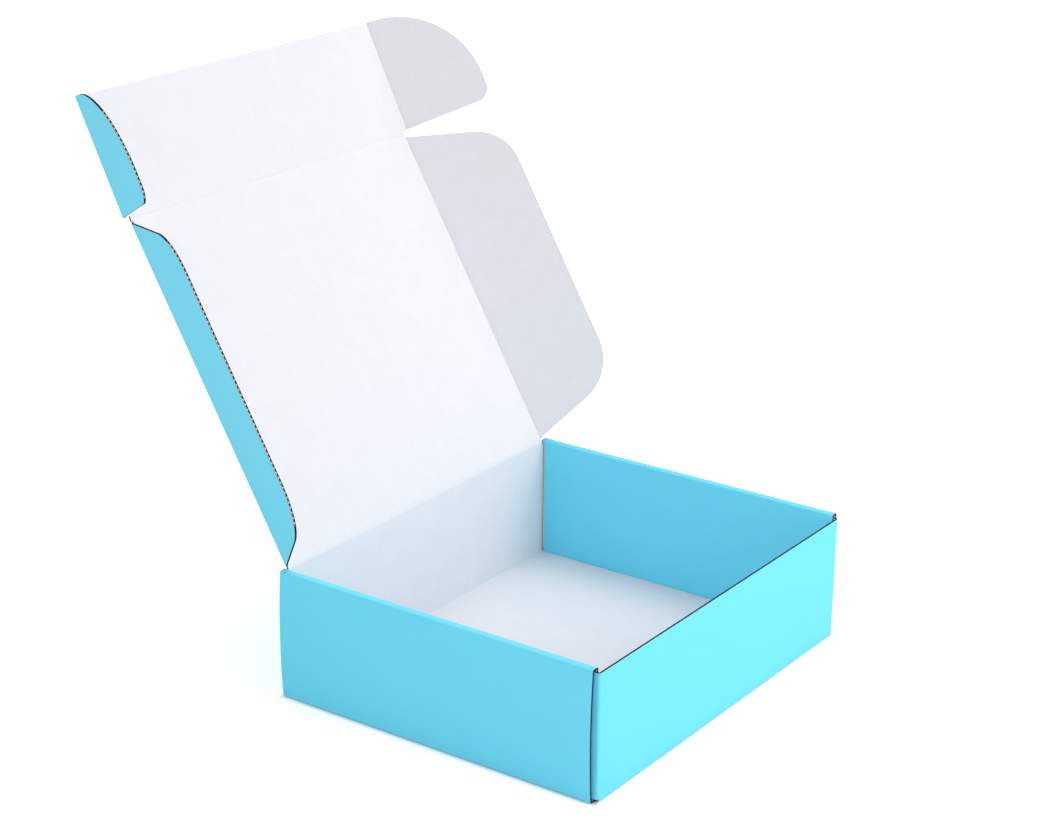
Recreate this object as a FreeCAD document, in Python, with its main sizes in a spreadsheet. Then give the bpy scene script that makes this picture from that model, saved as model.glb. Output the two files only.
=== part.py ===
import FreeCAD, Part
import math
import os
import re

import Sketcher

# A corrugated mailer box folded from one sheet of thin fluted board. The tray has a floor,
# a front and a back wall, and double side walls that roll over at the top and lock into the
# floor with tabs. The lid hangs on the back wall. It carries two side ears and a tuck flap
# with two ears of its own, which slide into the slots at the front corners.
#
# Frame: X to the right, Y from the front to the back, Z up. The origin is the centre of the
# tray's underside. Lengths are in millimetres and angles in degrees.

SIZES = {
    # Tray
    "box_width": 322.0,
    "box_depth": 263.0,
    "box_height": 96.5,
    "board": 1.5,
    "side_bow": 1.8,
    "fold_radius": 2.0,
    "roll_radius": 1.6,
    "roll_lip": 2.9,
    "corner_radius": 1.8,
    "corner_relief": 1.2,
    "wall_drop": 3.1,
    "side_set_back": 3.3,
    "panel_back_gap": 3.5,
    "dust_flap_length": 85.0,
    # Play between layers
    "ear_play": 0.1,
    "layer_gap": 0.15,
    "lid_play": 0.45,
    "front_gap": 0.3,
    "floor_gap": 0.3,
    # Locking tabs of the inner side panels
    "tab_length": 38.0,
    "tab_spacing": 150.0,
    "tab_play": 0.35,
    "tab_recess": 0.3,
    # Creases: the gap between a crease bead and the rounded edge that turns about it
    "crease_gap": 0.35,
    "ear_crease_gap": 0.85,
    # Lid and its ears
    "lid_open": 120.69,
    "lid_ear_width": 75.0,
    "lid_ear_fold": 61.0,
    "lid_ear_start": 2.0,
    "lid_ear_end": 1.9,
    "lid_ear_back_slant": 17.3,
    "lid_ear_back_radius": 41.0,
    "lid_ear_front_slant": 20.0,
    "lid_ear_front_radius": 36.0,
    # Tuck flap and its ears
    "tuck_length": 92.3,
    "tuck_fold": 4.1,
    "tuck_neck": 3.0,
    "tuck_ear_fold": 61.5,
    "tuck_ear_start": 3.5,
    "tuck_ear_radius": 72.0,
    "tuck_ear_corner": 11.0,
}

# Sizes that follow from the ones above, worked out in the sheet.
DERIVED = {
    "half_width": "box_width / 2",
    "half_depth": "box_depth / 2",
    "slot_width": "board + 2 * ear_play",
    "flap_face": "half_width - board - slot_width",
    "corner_centre": "flap_face - corner_radius",
    "inner_face": "flap_face - 2 * board - layer_gap",
    "wall_top": "box_height - wall_drop",
    "side_length": "box_depth - side_set_back",
    "outer_bow_radius": "((box_height - fold_radius - roll_radius) ^ 2 / 4 + side_bow ^ 2) / (2 * side_bow)",
    "inner_bow_radius": "((box_height - 2 * board) ^ 2 / 4 + side_bow ^ 2) / (2 * side_bow)",
    "bead": "board / 2",
    "hinge_depth": "half_depth - bead",
    "hinge_height": "box_height - bead",
    "lid_length": "hinge_depth + half_depth + front_gap + bead",
    "lid_crease": "inner_face - lid_play - bead",
    "tuck_crease": "half_width - board - ear_play - bead",
    "crease_start": "bead + crease_gap",
    "ear_crease_start": "bead + ear_crease_gap",
}

UP = FreeCAD.Vector(0, 0, 1)
ALONG_X = FreeCAD.Vector(1, 0, 0)
ALONG_Y = FreeCAD.Vector(0, 1, 0)
HALF_ROUND = "half round"

doc = FreeCAD.newDocument("mailer_box")
sheet = doc.addObject("Spreadsheet::Sheet", "Sizes")


def fill_sheet():
    """Write every size into the sheet, one row each, with its word as the alias."""
    rows = [(word, str(value)) for word, value in SIZES.items()]
    rows += [(word, "=" + formula) for word, formula in DERIVED.items()]
    for row, (word, content) in enumerate(rows, start=1):
        sheet.set("A%d" % row, word)
        sheet.set("B%d" % row, content)
        sheet.setAlias("B%d" % row, word)
    doc.recompute()


def bound(formula):
    """The formula with each size written as a cell of the sheet."""
    known = set(SIZES) | set(DERIVED)
    return re.sub(r"[a-z_]+", lambda word: "Sizes." + word[0] if word[0] in known else word[0], formula)


def size(formula):
    """The value of a formula of sizes."""
    return float(sheet.evalExpression(bound(formula)))


def arc_between(start, end, radius):
    """The short arc from start to end. A positive radius turns left, a negative one right."""
    chord = end - start
    rise = math.sqrt(max(radius ** 2 - chord.Length ** 2 / 4, 0))
    side = UP.cross(chord).normalize() * math.copysign(rise, radius)
    centre = (start + end) * 0.5 + side
    first, last = (start, end) if radius > 0 else (end, start)
    angles = [math.atan2(point.y - centre.y, point.x - centre.x) for point in (first, last)]
    return Part.ArcOfCircle(Part.Circle(centre, UP, abs(radius)), angles[0], angles[1])


def tie(sketch, kind, edge, point, formula):
    """Hold one coordinate of an edge's point at the value of a formula."""
    number = sketch.addConstraint(Sketcher.Constraint(kind, -1, 1, edge, point, size(formula)))
    sketch.setExpression("Constraints[%d]" % number, bound(formula))


def draw(sketch, steps):
    """Draw one closed outline. A step is the point (x, y) that an edge leads to. A third entry
    is the radius of that edge, positive where it turns left, or HALF_ROUND."""
    points = [FreeCAD.Vector(size(step[0]), size(step[1]), 0) for step in steps]
    edges = []
    for place, step in enumerate(steps):
        start = points[place - 1]
        chord = points[place] - start
        if len(step) == 2:
            edges.append((sketch.addGeometry(Part.LineSegment(start, points[place])), 1, 2))
        elif step[2] == HALF_ROUND:
            edge = sketch.addGeometry(arc_between(start, points[place], chord.Length / 2))
            edges.append((edge, 1, 2))
            level = abs(chord.x) > abs(chord.y)
            tie(sketch, "DistanceY" if level else "DistanceX", edge, 3, step[1] if level else step[0])
        else:
            left = size(step[2]) > 0
            edge = sketch.addGeometry(arc_between(start, points[place], size(step[2])))
            edges.append((edge, 1, 2) if left else (edge, 2, 1))
            bend = sketch.addConstraint(Sketcher.Constraint("Radius", edge, abs(size(step[2]))))
            radius = step[2] if left else "0 - (%s)" % step[2]
            sketch.setExpression("Constraints[%d]" % bend, bound(radius))
    for place, step in enumerate(steps):
        edge, _, end = edges[place]
        following, begin, _ = edges[(place + 1) % len(steps)]
        sketch.addConstraint(Sketcher.Constraint("Coincident", edge, end, following, begin))
        tie(sketch, "DistanceX", edge, end, step[0])
        tie(sketch, "DistanceY", edge, end, step[1])


def plane_sketch(body, name, role, offset=None):
    """A sketch on one of the body's own origin planes, moved along its normal by offset."""
    sketch = body.newObject("Sketcher::SketchObject", name)
    plane = next(item for item in body.Origin.OriginFeatures if item.Role == role)
    sketch.AttachmentSupport = [(plane, "")]
    sketch.MapMode = "FlatFace"
    if offset:
        sketch.setExpression("AttachmentOffset.Base.z", bound(offset))
    return sketch


def pad(body, name, sketch, length, symmetric=False):
    """Thicken a sketch by length, to both sides of it if symmetric."""
    feature = body.newObject("PartDesign::Pad", name)
    feature.Profile = sketch
    feature.setExpression("Length", bound(length))
    if symmetric:
        feature.SideType = "Symmetric"
    sketch.Visibility = False
    doc.recompute()
    return feature


def tab_places():
    """The two ends of a side where a locking tab sits, as signs along Y."""
    return (-1, 1)


def make_tray():
    """The tray: the right half as folded, then mirrored about the middle plane."""
    body = doc.addObject("PartDesign::Body", "Tray")
    body.Label = "tray"

    # The strip of floor beside the fold, the bowed outer panel, and the roll with its lip. They
    # start a little behind the front wall's face and end flush with the back wall's face.
    section = plane_sketch(body, "SideSection", "XZ_Plane", "0 - side_set_back / 2")
    draw(section, [
        ("corner_centre", "0"),
        ("half_width - fold_radius", "0"),
        ("half_width", "fold_radius", "fold_radius"),
        ("half_width", "box_height - roll_radius", "outer_bow_radius"),
        ("half_width - roll_radius", "box_height", "roll_radius"),
        ("inner_face + roll_radius", "box_height"),
        ("inner_face", "box_height - roll_radius", "roll_radius"),
        ("inner_face", "box_height - roll_lip"),
        ("inner_face + board", "box_height - roll_lip"),
        ("inner_face + board", "box_height - board"),
        ("half_width - board", "box_height - board"),
        ("half_width - board", "board", "0 - inner_bow_radius"),
        ("corner_centre", "board"),
    ])
    side = pad(body, "SidePanel", section, "side_length", symmetric=True)

    # The floor with the front and back walls turned up from it.
    section = plane_sketch(body, "WallSection", "YZ_Plane")
    draw(section, [
        ("half_depth - fold_radius", "0"),
        ("half_depth", "fold_radius", "fold_radius"),
        ("half_depth", "wall_top"),
        ("half_depth - board", "wall_top"),
        ("half_depth - board", "board"),
        ("board - half_depth", "board"),
        ("board - half_depth", "wall_top"),
        ("0 - half_depth", "wall_top"),
        ("0 - half_depth", "fold_radius"),
        ("fold_radius - half_depth", "0", "fold_radius"),
    ])
    walls = pad(body, "FloorAndWalls", section, "corner_centre")

    # The back wall's upper strip, up to the crease bead that the lid turns about.
    section = plane_sketch(body, "CreaseSection", "YZ_Plane")
    draw(section, [
        ("half_depth", "wall_top - board"),
        ("half_depth", "hinge_height"),
        ("half_depth - board", "hinge_height", HALF_ROUND),
        ("half_depth - board", "wall_top - board"),
    ])
    crease = pad(body, "HingeCrease", section, "lid_crease")

    # The corner bends and the dust flaps that end between the layers of the side wall.
    plan = plane_sketch(body, "CornerPlan", "XY_Plane", "board + corner_relief")
    draw(plan, [
        ("corner_centre - board", "0 - half_depth"),
        ("corner_centre", "0 - half_depth"),
        ("flap_face", "corner_radius - half_depth", "corner_radius"),
        ("flap_face", "dust_flap_length - half_depth"),
        ("flap_face - board", "dust_flap_length - half_depth"),
        ("flap_face - board", "corner_radius - half_depth"),
        ("corner_centre", "board - half_depth", "board - corner_radius"),
        ("corner_centre - board", "board - half_depth"),
    ])
    draw(plan, [
        ("corner_centre - board", "half_depth - board"),
        ("corner_centre", "half_depth - board"),
        ("flap_face - board", "half_depth - corner_radius", "board - corner_radius"),
        ("flap_face - board", "half_depth - dust_flap_length"),
        ("flap_face", "half_depth - dust_flap_length"),
        ("flap_face", "half_depth - corner_radius"),
        ("corner_centre", "half_depth", "corner_radius"),
        ("corner_centre - board", "half_depth"),
    ])
    flaps = pad(body, "DustFlaps", plan, "wall_top - board - corner_relief")

    # The slots in the floor that the locking tabs drop into.
    plan = plane_sketch(body, "SlotPlan", "XY_Plane", "board")
    for end in tab_places():
        middle = "%d * tab_spacing / 2" % end
        draw(plan, [
            ("inner_face - tab_play", middle + " - tab_length / 2 - tab_play"),
            ("inner_face + board + tab_play", middle + " - tab_length / 2 - tab_play"),
            ("inner_face + board + tab_play", middle + " + tab_length / 2 + tab_play"),
            ("inner_face - tab_play", middle + " + tab_length / 2 + tab_play"),
        ])
    whole = body.Tip.Shape.Volume
    slots = body.newObject("PartDesign::Pocket", "TabSlots")
    slots.Profile = plan
    slots.setExpression("Length", bound("2 * board"))
    plan.Visibility = False
    doc.recompute()
    expected = 2 * size("(board + 2 * tab_play) * (tab_length + 2 * tab_play) * board")
    if abs(whole - slots.Shape.Volume - expected) > 0.05 * expected:
        raise RuntimeError("the tab slots don't go through the floor")

    # The inner side panel, from the roll down to the floor, with its two tabs.
    outline = plane_sketch(body, "InnerOutline", "YZ_Plane", "inner_face")
    front, back = "side_set_back - half_depth", "half_depth - panel_back_gap"
    low = "board + floor_gap"
    steps = [(front, low)]
    for place in tab_places():
        middle = "%d * tab_spacing / 2" % place
        steps += [
            (middle + " - tab_length / 2", low),
            (middle + " - tab_length / 2", "tab_recess"),
            (middle + " + tab_length / 2", "tab_recess"),
            (middle + " + tab_length / 2", low),
        ]
    steps += [(back, low), (back, "box_height - board"), (front, "box_height - board")]
    draw(outline, steps)
    inner = pad(body, "InnerPanel", outline, "board")

    mirrored = body.newObject("PartDesign::Mirrored", "LeftHalf")
    mirrored.Originals = [side, walls, crease, flaps, slots, inner]
    middle_plane = next(item for item in body.Origin.OriginFeatures if item.Role == "YZ_Plane")
    mirrored.MirrorPlane = (middle_plane, [""])
    body.Tip = mirrored
    doc.recompute()
    return body


def loose_sketch(name, turned=None):
    """A sketch in the piece's own frame, flat on XY unless turned."""
    sketch = doc.addObject("Sketcher::SketchObject", name)
    if turned:
        sketch.Placement = FreeCAD.Placement(FreeCAD.Vector(), turned)
    sketch.Visibility = False
    return sketch


ON_XZ = FreeCAD.Rotation(ALONG_X, 90)
ON_YZ = FreeCAD.Rotation(FreeCAD.Vector(1, 1, 1), 120)


def thick(name, sketch, direction, length, symmetric=False):
    """The solid that a sketch sweeps along a straight direction."""
    solid = doc.addObject("Part::Extrusion", name)
    solid.Base = sketch
    solid.DirMode = "Custom"
    solid.Dir = direction
    solid.Solid = True
    solid.Symmetric = symmetric
    solid.setExpression("LengthFwd", bound(length))
    solid.Visibility = False
    return solid


def common(name, label, shapes):
    """What all the shapes share, as one labelled piece."""
    piece = doc.addObject("Part::MultiCommon", name)
    piece.Shapes = shapes
    piece.Label = label
    return piece


def rounded_ends(sketch, low, high):
    """A strip of board seen from its end, with both ends half round."""
    draw(sketch, [
        (high, "0 - bead"),
        (high, "bead", HALF_ROUND),
        (low, "bead"),
        (low, "0 - bead", HALF_ROUND),
    ])


def rounded_start(sketch, low, high):
    """A strip of board seen from its end, half round at low and cut square at high."""
    draw(sketch, [
        (high, "0 - bead"),
        (high, "bead"),
        (low, "bead"),
        (low, "0 - bead", HALF_ROUND),
    ])


def make_lid():
    """The lid panel in its own frame: Y from the hinge to the tuck crease, Z to its inside."""
    lengthways = loose_sketch("LidLengthways", ON_YZ)
    rounded_ends(lengthways, "crease_start + bead", "lid_length")
    crossways = loose_sketch("LidCrossways", ON_XZ)
    rounded_ends(crossways, "0 - lid_crease", "lid_crease")
    return common("Lid", "lid", [
        thick("LidLength", lengthways, ALONG_X, "2 * half_width", symmetric=True),
        thick("LidWidth", crossways, ALONG_Y, "lid_length + board"),
    ])


def make_tuck():
    """The tuck flap in its own frame: Y from its crease to its free edge, Z to its inside."""
    lengthways = loose_sketch("TuckLengthways", ON_YZ)
    rounded_start(lengthways, "crease_start + bead", "tuck_length")
    crossways = loose_sketch("TuckCrossways", ON_XZ)
    rounded_ends(crossways, "0 - tuck_crease", "tuck_crease")
    plan = loose_sketch("TuckPlan")
    draw(plan, [
        ("0 - lid_crease", "0"),
        ("lid_crease", "0"),
        ("lid_crease", "tuck_neck"),
        ("half_width", "tuck_neck"),
        ("half_width", "tuck_length"),
        ("0 - half_width", "tuck_length"),
        ("0 - half_width", "tuck_neck"),
        ("0 - lid_crease", "tuck_neck"),
    ])
    return common("TuckFlap", "tuck_flap", [
        thick("TuckLength", lengthways, ALONG_X, "2 * half_width", symmetric=True),
        thick("TuckWidth", crossways, ALONG_Y, "tuck_length"),
        thick("TuckOutline", plan, UP, "2 * board", symmetric=True),
    ])


def ear(name, label, outline, width, length):
    """An ear in its own frame: X outwards from its crease, Y along the crease."""
    crossways = loose_sketch(name + "Crossways", ON_XZ)
    rounded_start(crossways, "ear_crease_start + bead", width)
    plan = loose_sketch(name + "Plan")
    draw(plan, outline)
    return common(name, label, [
        thick(name + "Width", crossways, ALONG_Y, length),
        thick(name + "Outline", plan, UP, "2 * board", symmetric=True),
    ])


def corner_reach(radius, slant):
    """How far a round corner reaches along its edges: radius times the tangent of half its turn."""
    return "%s * tan((90 - %s) / 2)" % (radius, slant)


def lid_ear_outline():
    """Both ends slant in from the crease and meet the long outer edge in round corners."""
    back = "(%s)" % corner_reach("lid_ear_back_radius", "lid_ear_back_slant")
    front = "(%s)" % corner_reach("lid_ear_front_radius", "lid_ear_front_slant")
    back_corner = "(lid_ear_start + lid_ear_width * tan(lid_ear_back_slant))"
    tip = "(lid_length - lid_ear_end)"
    front_corner = "(%s - lid_ear_width * tan(lid_ear_front_slant))" % tip
    return [
        ("0", "lid_ear_start"),
        ("lid_ear_width - %s * cos(lid_ear_back_slant)" % back,
         "%s - %s * sin(lid_ear_back_slant)" % (back_corner, back)),
        ("lid_ear_width", "%s + %s" % (back_corner, back), "lid_ear_back_radius"),
        ("lid_ear_width", "%s - %s" % (front_corner, front)),
        ("lid_ear_width - %s * cos(lid_ear_front_slant)" % front,
         "%s + %s * sin(lid_ear_front_slant)" % (front_corner, front), "lid_ear_front_radius"),
        ("0", tip),
    ]


def tuck_ear_outline():
    """A quarter round about a point of the crease, so that the ear swings into its slot."""
    return [
        ("0", "tuck_ear_start"),
        ("tuck_ear_radius - tuck_ear_corner", "tuck_ear_start"),
        ("tuck_ear_radius", "tuck_ear_start + tuck_ear_corner", "tuck_ear_corner"),
        ("tuck_ear_radius", "tuck_length - tuck_ear_radius"),
        ("0", "tuck_length", "tuck_ear_radius"),
    ]


def turned(position, axis, angle):
    """A placement that turns by angle about axis and then moves to position."""
    return FreeCAD.Placement(position, FreeCAD.Rotation(axis, angle))


def build():
    """Make every piece, put the hinged ones in their open pose and write the files."""
    fill_sheet()
    pieces = [make_tray()]
    lid = make_lid()
    tuck = make_tuck()
    lid_ears = [ear("LidEar" + side.title(), "lid_ear_" + side, lid_ear_outline(),
                    "lid_ear_width", "lid_length") for side in ("right", "left")]
    tuck_ears = [ear("TuckEar" + side.title(), "tuck_ear_" + side, tuck_ear_outline(),
                     "tuck_ear_radius", "tuck_length") for side in ("right", "left")]
    doc.recompute()

    hinge = FreeCAD.Vector(0, size("hinge_depth"), size("hinge_height"))
    lid.Placement = turned(hinge, ALONG_X, 180 - size("lid_open"))
    fold = turned(FreeCAD.Vector(0, size("lid_length"), 0), ALONG_X, size("tuck_fold"))
    tuck.Placement = lid.Placement.multiply(fold)
    for carrier, ears, crease, angle in (
            (lid, lid_ears, "lid_crease", "lid_ear_fold"),
            (tuck, tuck_ears, "tuck_crease", "tuck_ear_fold")):
        right = turned(FreeCAD.Vector(size(crease), 0, 0), ALONG_Y, -size(angle))
        left = turned(FreeCAD.Vector(-size(crease), 0, 0), ALONG_Y, 180 + size(angle))
        ears[0].Placement = carrier.Placement.multiply(right)
        ears[1].Placement = carrier.Placement.multiply(left)
    pieces += [lid, tuck] + lid_ears + tuck_ears
    doc.recompute()
    write(pieces)


def write(pieces):
    """Check every object and every piece, then write each piece to its own file."""
    for item in doc.Objects:
        if "Invalid" in item.State or "Error" in item.State:
            raise RuntimeError("%s failed: %s" % (item.Name, item.State))
    os.makedirs("parts", exist_ok=True)
    for piece in pieces:
        shape = piece.Shape
        if shape.isNull() or not shape.isValid() or len(shape.Solids) != 1:
            raise RuntimeError("%s isn't one sound solid" % piece.Label)
    for piece in pieces:
        piece.Shape.exportStep("parts/%s.step" % piece.Label)
        print(piece.Label, round(piece.Shape.Volume, 1))


build()
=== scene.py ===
"""The look of an open corrugated mailer box: one sheet of thin fluted board, blue outside and
white inside, folded into a tray with double side walls, a lid, a tuck flap and four ears.

Every wall is built as the real board is: two paper liners with a waved paper between them.
Lengths are in metres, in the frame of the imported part: X to the right, Y to the back, Z up."""

import logging
import math
from collections.abc import Callable
from dataclasses import dataclass, field
from enum import Enum

import bpy
import numpy as np
from mathutils import Matrix, Vector


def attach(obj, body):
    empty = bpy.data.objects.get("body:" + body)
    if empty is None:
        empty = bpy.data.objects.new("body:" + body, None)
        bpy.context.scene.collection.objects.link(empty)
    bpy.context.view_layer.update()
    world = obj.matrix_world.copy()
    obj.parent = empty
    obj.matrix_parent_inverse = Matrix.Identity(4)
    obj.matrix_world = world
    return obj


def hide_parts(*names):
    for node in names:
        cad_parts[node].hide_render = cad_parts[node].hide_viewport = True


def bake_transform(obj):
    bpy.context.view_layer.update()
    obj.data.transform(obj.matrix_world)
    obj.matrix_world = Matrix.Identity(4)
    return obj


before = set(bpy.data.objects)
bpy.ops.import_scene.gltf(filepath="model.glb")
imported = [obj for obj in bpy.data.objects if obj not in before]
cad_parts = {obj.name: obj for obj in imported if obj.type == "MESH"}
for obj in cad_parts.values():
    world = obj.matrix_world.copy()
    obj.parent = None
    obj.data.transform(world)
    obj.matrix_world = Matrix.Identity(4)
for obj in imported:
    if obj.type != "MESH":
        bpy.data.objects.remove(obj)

logging.basicConfig(level=logging.INFO, format="%(message)s")
LOG = logging.getLogger("mailer_box")
MM = 0.001

# Places closer than a billionth of a metre are one place.
DIGITS = 9
CLOSE = 1e-9
WALL_STEP = 12 * MM
CREASE_STEP = 10 * MM
FLAP_STEP = 8 * MM
ARC_STEPS = 8
LONG_ARC = 20 * MM
LONG_ARC_STEPS = 24
SMALL_ROUND_POINTS = 13
ROUND_POINTS = 25
LARGE_ROUND_POINTS = 49
PANEL_CELLS = 36
EAR_CELLS = 14
SHARP_ANGLE = math.radians(32)

# Tells from the middles of a wall's cells, along and across, which of them exist.
Keep = Callable[[np.ndarray, np.ndarray], np.ndarray]


class Paper(Enum):
    """The papers of a wall, and two painted shades for its flute hollows and cut walls, in the order of a
    mesh's material slots.
    """

    PRINTED = 0
    WHITE = 1
    # Near-black painted shade of the flute hollows: the waved paper's faces and the liners' faces inside the
    # flutes.
    FLUTED = 2
    # Near-black painted shade on the cut walls, where one looks into the flute hollows.
    CUT = 3
    PALE_CUT = 4


# Each is the low face, the high face, and the walls cut along and across the flutes. The faces inside the
# flutes and the cut walls take painted near-black shade, and the waved paper's cut across the flutes keeps
# its pale own colour.
PRINTED_LINER = (Paper.PRINTED, Paper.FLUTED, Paper.CUT, Paper.CUT)
WHITE_LINER = (Paper.FLUTED, Paper.WHITE, Paper.CUT, Paper.CUT)
WAVED_PAPER = (Paper.FLUTED, Paper.FLUTED, Paper.CUT, Paper.PALE_CUT)
CREASED_BOARD = (Paper.PRINTED, Paper.WHITE, Paper.CUT, Paper.CUT)


@dataclass(frozen=True)
class Board:
    """The board: liner, waved paper and liner, with its waves, score lines and creases.

    A crease between two flaps reaches crease_before into the one that carries it and crease_after
    into the one that turns. Its white side is crushed to crease_crushed over valley to each side.
    """

    thickness: float = 1.5 * MM
    liner: float = 0.22 * MM
    waved: float = 0.17 * MM
    pitch: float = 3.55 * MM
    samples_per_wave: int = 12
    waves_at_ends: int = 4
    score_depth: float = 0.15 * MM
    score_width: float = 0.55 * MM
    crease_before: float = 1.1 * MM
    crease_after: float = 1.9 * MM
    crease_crushed: float = 0.45 * MM
    valley: float = 0.35 * MM
    narrowest: float = 0.05 * MM

    @property
    def half(self) -> float:
        """Half the board's thickness."""
        return self.thickness / 2

    @property
    def wave_step(self) -> float:
        """The step between the samples of the waved paper."""
        return self.pitch / self.samples_per_wave

    @property
    def crest(self) -> float:
        """How far the waved paper's middle swings to each side, so that it touches both liners."""
        return self.half - self.liner - self.waved / 2


@dataclass(frozen=True)
class BoxSizes:
    """The folded box, from the same sizes as its solids."""

    half_width: float = 161.0 * MM
    half_depth: float = 131.5 * MM
    height: float = 96.5 * MM
    side_bow: float = 1.8 * MM
    fold_radius: float = 2.0 * MM
    roll_radius: float = 1.6 * MM
    roll_lip: float = 2.9 * MM
    corner_radius: float = 1.8 * MM
    corner_relief: float = 1.2 * MM
    corner_centre: float = 156.0 * MM
    flap_face: float = 157.8 * MM
    inner_face: float = 154.65 * MM
    wall_top: float = 93.4 * MM
    side_set_back: float = 3.3 * MM
    panel_back_gap: float = 3.5 * MM
    dust_flap_length: float = 85.0 * MM
    floor_gap: float = 0.3 * MM
    tab_length: float = 38.0 * MM
    tab_spacing: float = 150.0 * MM
    tab_play: float = 0.35 * MM
    tab_recess: float = 0.3 * MM
    hinge_depth: float = 130.75 * MM
    hinge_height: float = 95.75 * MM
    lid_open: float = 120.69
    lid_length: float = 263.3 * MM
    lid_crease: float = 153.45 * MM
    lid_ear_fold: float = 61.0
    lid_ear_width: float = 75.0 * MM
    lid_ear_start: float = 2.0 * MM
    lid_ear_end: float = 1.9 * MM
    lid_ear_back_slant: float = 17.3
    lid_ear_back_radius: float = 41.0 * MM
    lid_ear_front_slant: float = 20.0
    lid_ear_front_radius: float = 36.0 * MM
    tuck_length: float = 92.3 * MM
    tuck_fold: float = 4.1
    tuck_neck: float = 3.0 * MM
    tuck_crease: float = 158.65 * MM
    tuck_ear_fold: float = 61.5
    tuck_ear_start: float = 3.5 * MM
    tuck_ear_radius: float = 72.0 * MM
    tuck_ear_corner: float = 11.0 * MM

    @property
    def floor_seam(self) -> float:
        """Where the floor's middle meets the strips that the tab slots are in."""
        return self.inner_face - self.tab_play

    @property
    def side_front(self) -> float:
        """Where the side walls start, behind the front wall's face."""
        return self.side_set_back - self.half_depth


BOARD = Board()
BOX = BoxSizes()


# Meshes


@dataclass
class SheetMesh:
    """Gathers closed slabs of paper into one mesh, with a UV map in metres along the sheet."""

    name: str
    points: list[np.ndarray] = field(default_factory=list)
    quads: list[np.ndarray] = field(default_factory=list)
    papers: list[np.ndarray] = field(default_factory=list)
    places: list[np.ndarray] = field(default_factory=list)
    count: int = 0

    def add_slab(self, low: np.ndarray, high: np.ndarray, sheet: np.ndarray, papers: tuple[Paper, ...],
                 keep: np.ndarray | None = None, mirrored: bool = False) -> None:
        """Add a closed slab between two grids of points.

        The low grid and the high grid are its two faces, cell by cell. Wherever a kept cell has no
        kept neighbour, a wall joins the two grids, so any rectilinear outline is closed.

        Args:
            low: points of the face on the printed side, shaped (rows, columns, 3).
            high: points of the face on the white side, shaped the same.
            sheet: each point's place on the flat sheet in metres, along the flutes and across them.
            papers: the papers of the low face, of the high face, and of the walls that are cut
                along the flutes and across them.
            keep: which cells exist, shaped (rows - 1, columns - 1). All of them if None.
            mirrored: True where the points were mirrored, so that faces still point outwards.
        """
        rows, columns = low.shape[:2]
        size = rows * columns
        kept = np.ones((rows - 1, columns - 1), bool) if keep is None else keep
        ident = np.arange(size).reshape(rows, columns)
        a, b, c, d = ident[:-1, :-1], ident[1:, :-1], ident[1:, 1:], ident[:-1, 1:]
        found = [(np.stack([a, d, c, b], -1)[kept], papers[0]),
                 (np.stack([a, b, c, d], -1)[kept] + size, papers[1])]
        padded = np.pad(kept, 1)
        flat = sheet.reshape(-1, 2)
        for start, end, neighbour in ((d, a, padded[:-2, 1:-1]), (b, c, padded[2:, 1:-1]),
                                      (a, b, padded[1:-1, :-2]), (c, d, padded[1:-1, 2:])):
            bare = kept & ~neighbour
            edge = np.stack([start[bare], end[bare]], -1)
            wall = np.concatenate([edge, edge[:, ::-1] + size], -1)
            # Walls cut along the flutes look down the flute channels and take papers[2], which for the waved
            # paper is the painted near-black shade. Walls cut across take papers[3].
            step = np.abs(flat[edge[:, 1]] - flat[edge[:, 0]])
            crossing = step[:, 1] > step[:, 0]
            found += [(wall[~crossing], papers[2]), (wall[crossing], papers[3])]
        quads = np.concatenate([part for part, _ in found])
        if mirrored:
            quads = quads[:, ::-1]
        self.points.append(np.concatenate([low.reshape(-1, 3), high.reshape(-1, 3)]))
        self.places.append(np.tile(flat, (2, 1)))
        self.quads.append(quads + self.count)
        self.papers.append(np.concatenate([np.full(len(part), paper.value) for part, paper in found]))
        self.count += 2 * size

    def build(self, materials: dict[Paper, bpy.types.Material]) -> bpy.types.Object:
        """Put the slabs into one object, without the points that no face uses.

        Args:
            materials: the material of each paper.

        Returns:
            The object, at the origin.
        """
        used, renumbered = np.unique(np.concatenate(self.quads), return_inverse=True)
        points = np.concatenate(self.points)[used]
        places = np.concatenate(self.places)[used]
        mesh = bpy.data.meshes.new(self.name)
        mesh.from_pydata(points.tolist(), [], renumbered.reshape(-1, 4).tolist())
        for paper in Paper:
            mesh.materials.append(materials[paper])
        mesh.polygons.foreach_set("material_index", np.concatenate(self.papers).astype(np.int32))
        corners = np.zeros(len(mesh.loops), np.int32)
        mesh.loops.foreach_get("vertex_index", corners)
        mesh.uv_layers.new(name="sheet").data.foreach_set("uv", places[corners].astype(np.float32).ravel())
        mesh.polygons.foreach_set("use_smooth", np.ones(len(mesh.polygons), bool))
        mesh.set_sharp_from_angle(angle=SHARP_ANGLE)
        mesh.update()
        piece = bpy.data.objects.new(self.name, mesh)
        bpy.context.scene.collection.objects.link(piece)
        return piece


def steps_between(marks: list[float], spacing: float) -> np.ndarray:
    """Sorted places that hold every mark, with equal steps between each two marks.

    Args:
        marks: places to hold, in any order.
        spacing: the largest step.

    Returns:
        The places, from the lowest mark to the highest.
    """
    marks = sorted(set(round(mark, DIGITS) for mark in marks))
    parts = []
    for low, high in zip(marks, marks[1:]):
        steps = max(1, math.ceil((high - low) / spacing))
        parts.append(np.linspace(low, high, steps + 1)[:-1])
    return np.concatenate([*parts, np.array(marks[-1:])])


def merged(*parts: np.ndarray) -> np.ndarray:
    """The places of all the parts, sorted and each once."""
    return np.unique(np.round(np.concatenate(parts), DIGITS))


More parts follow.
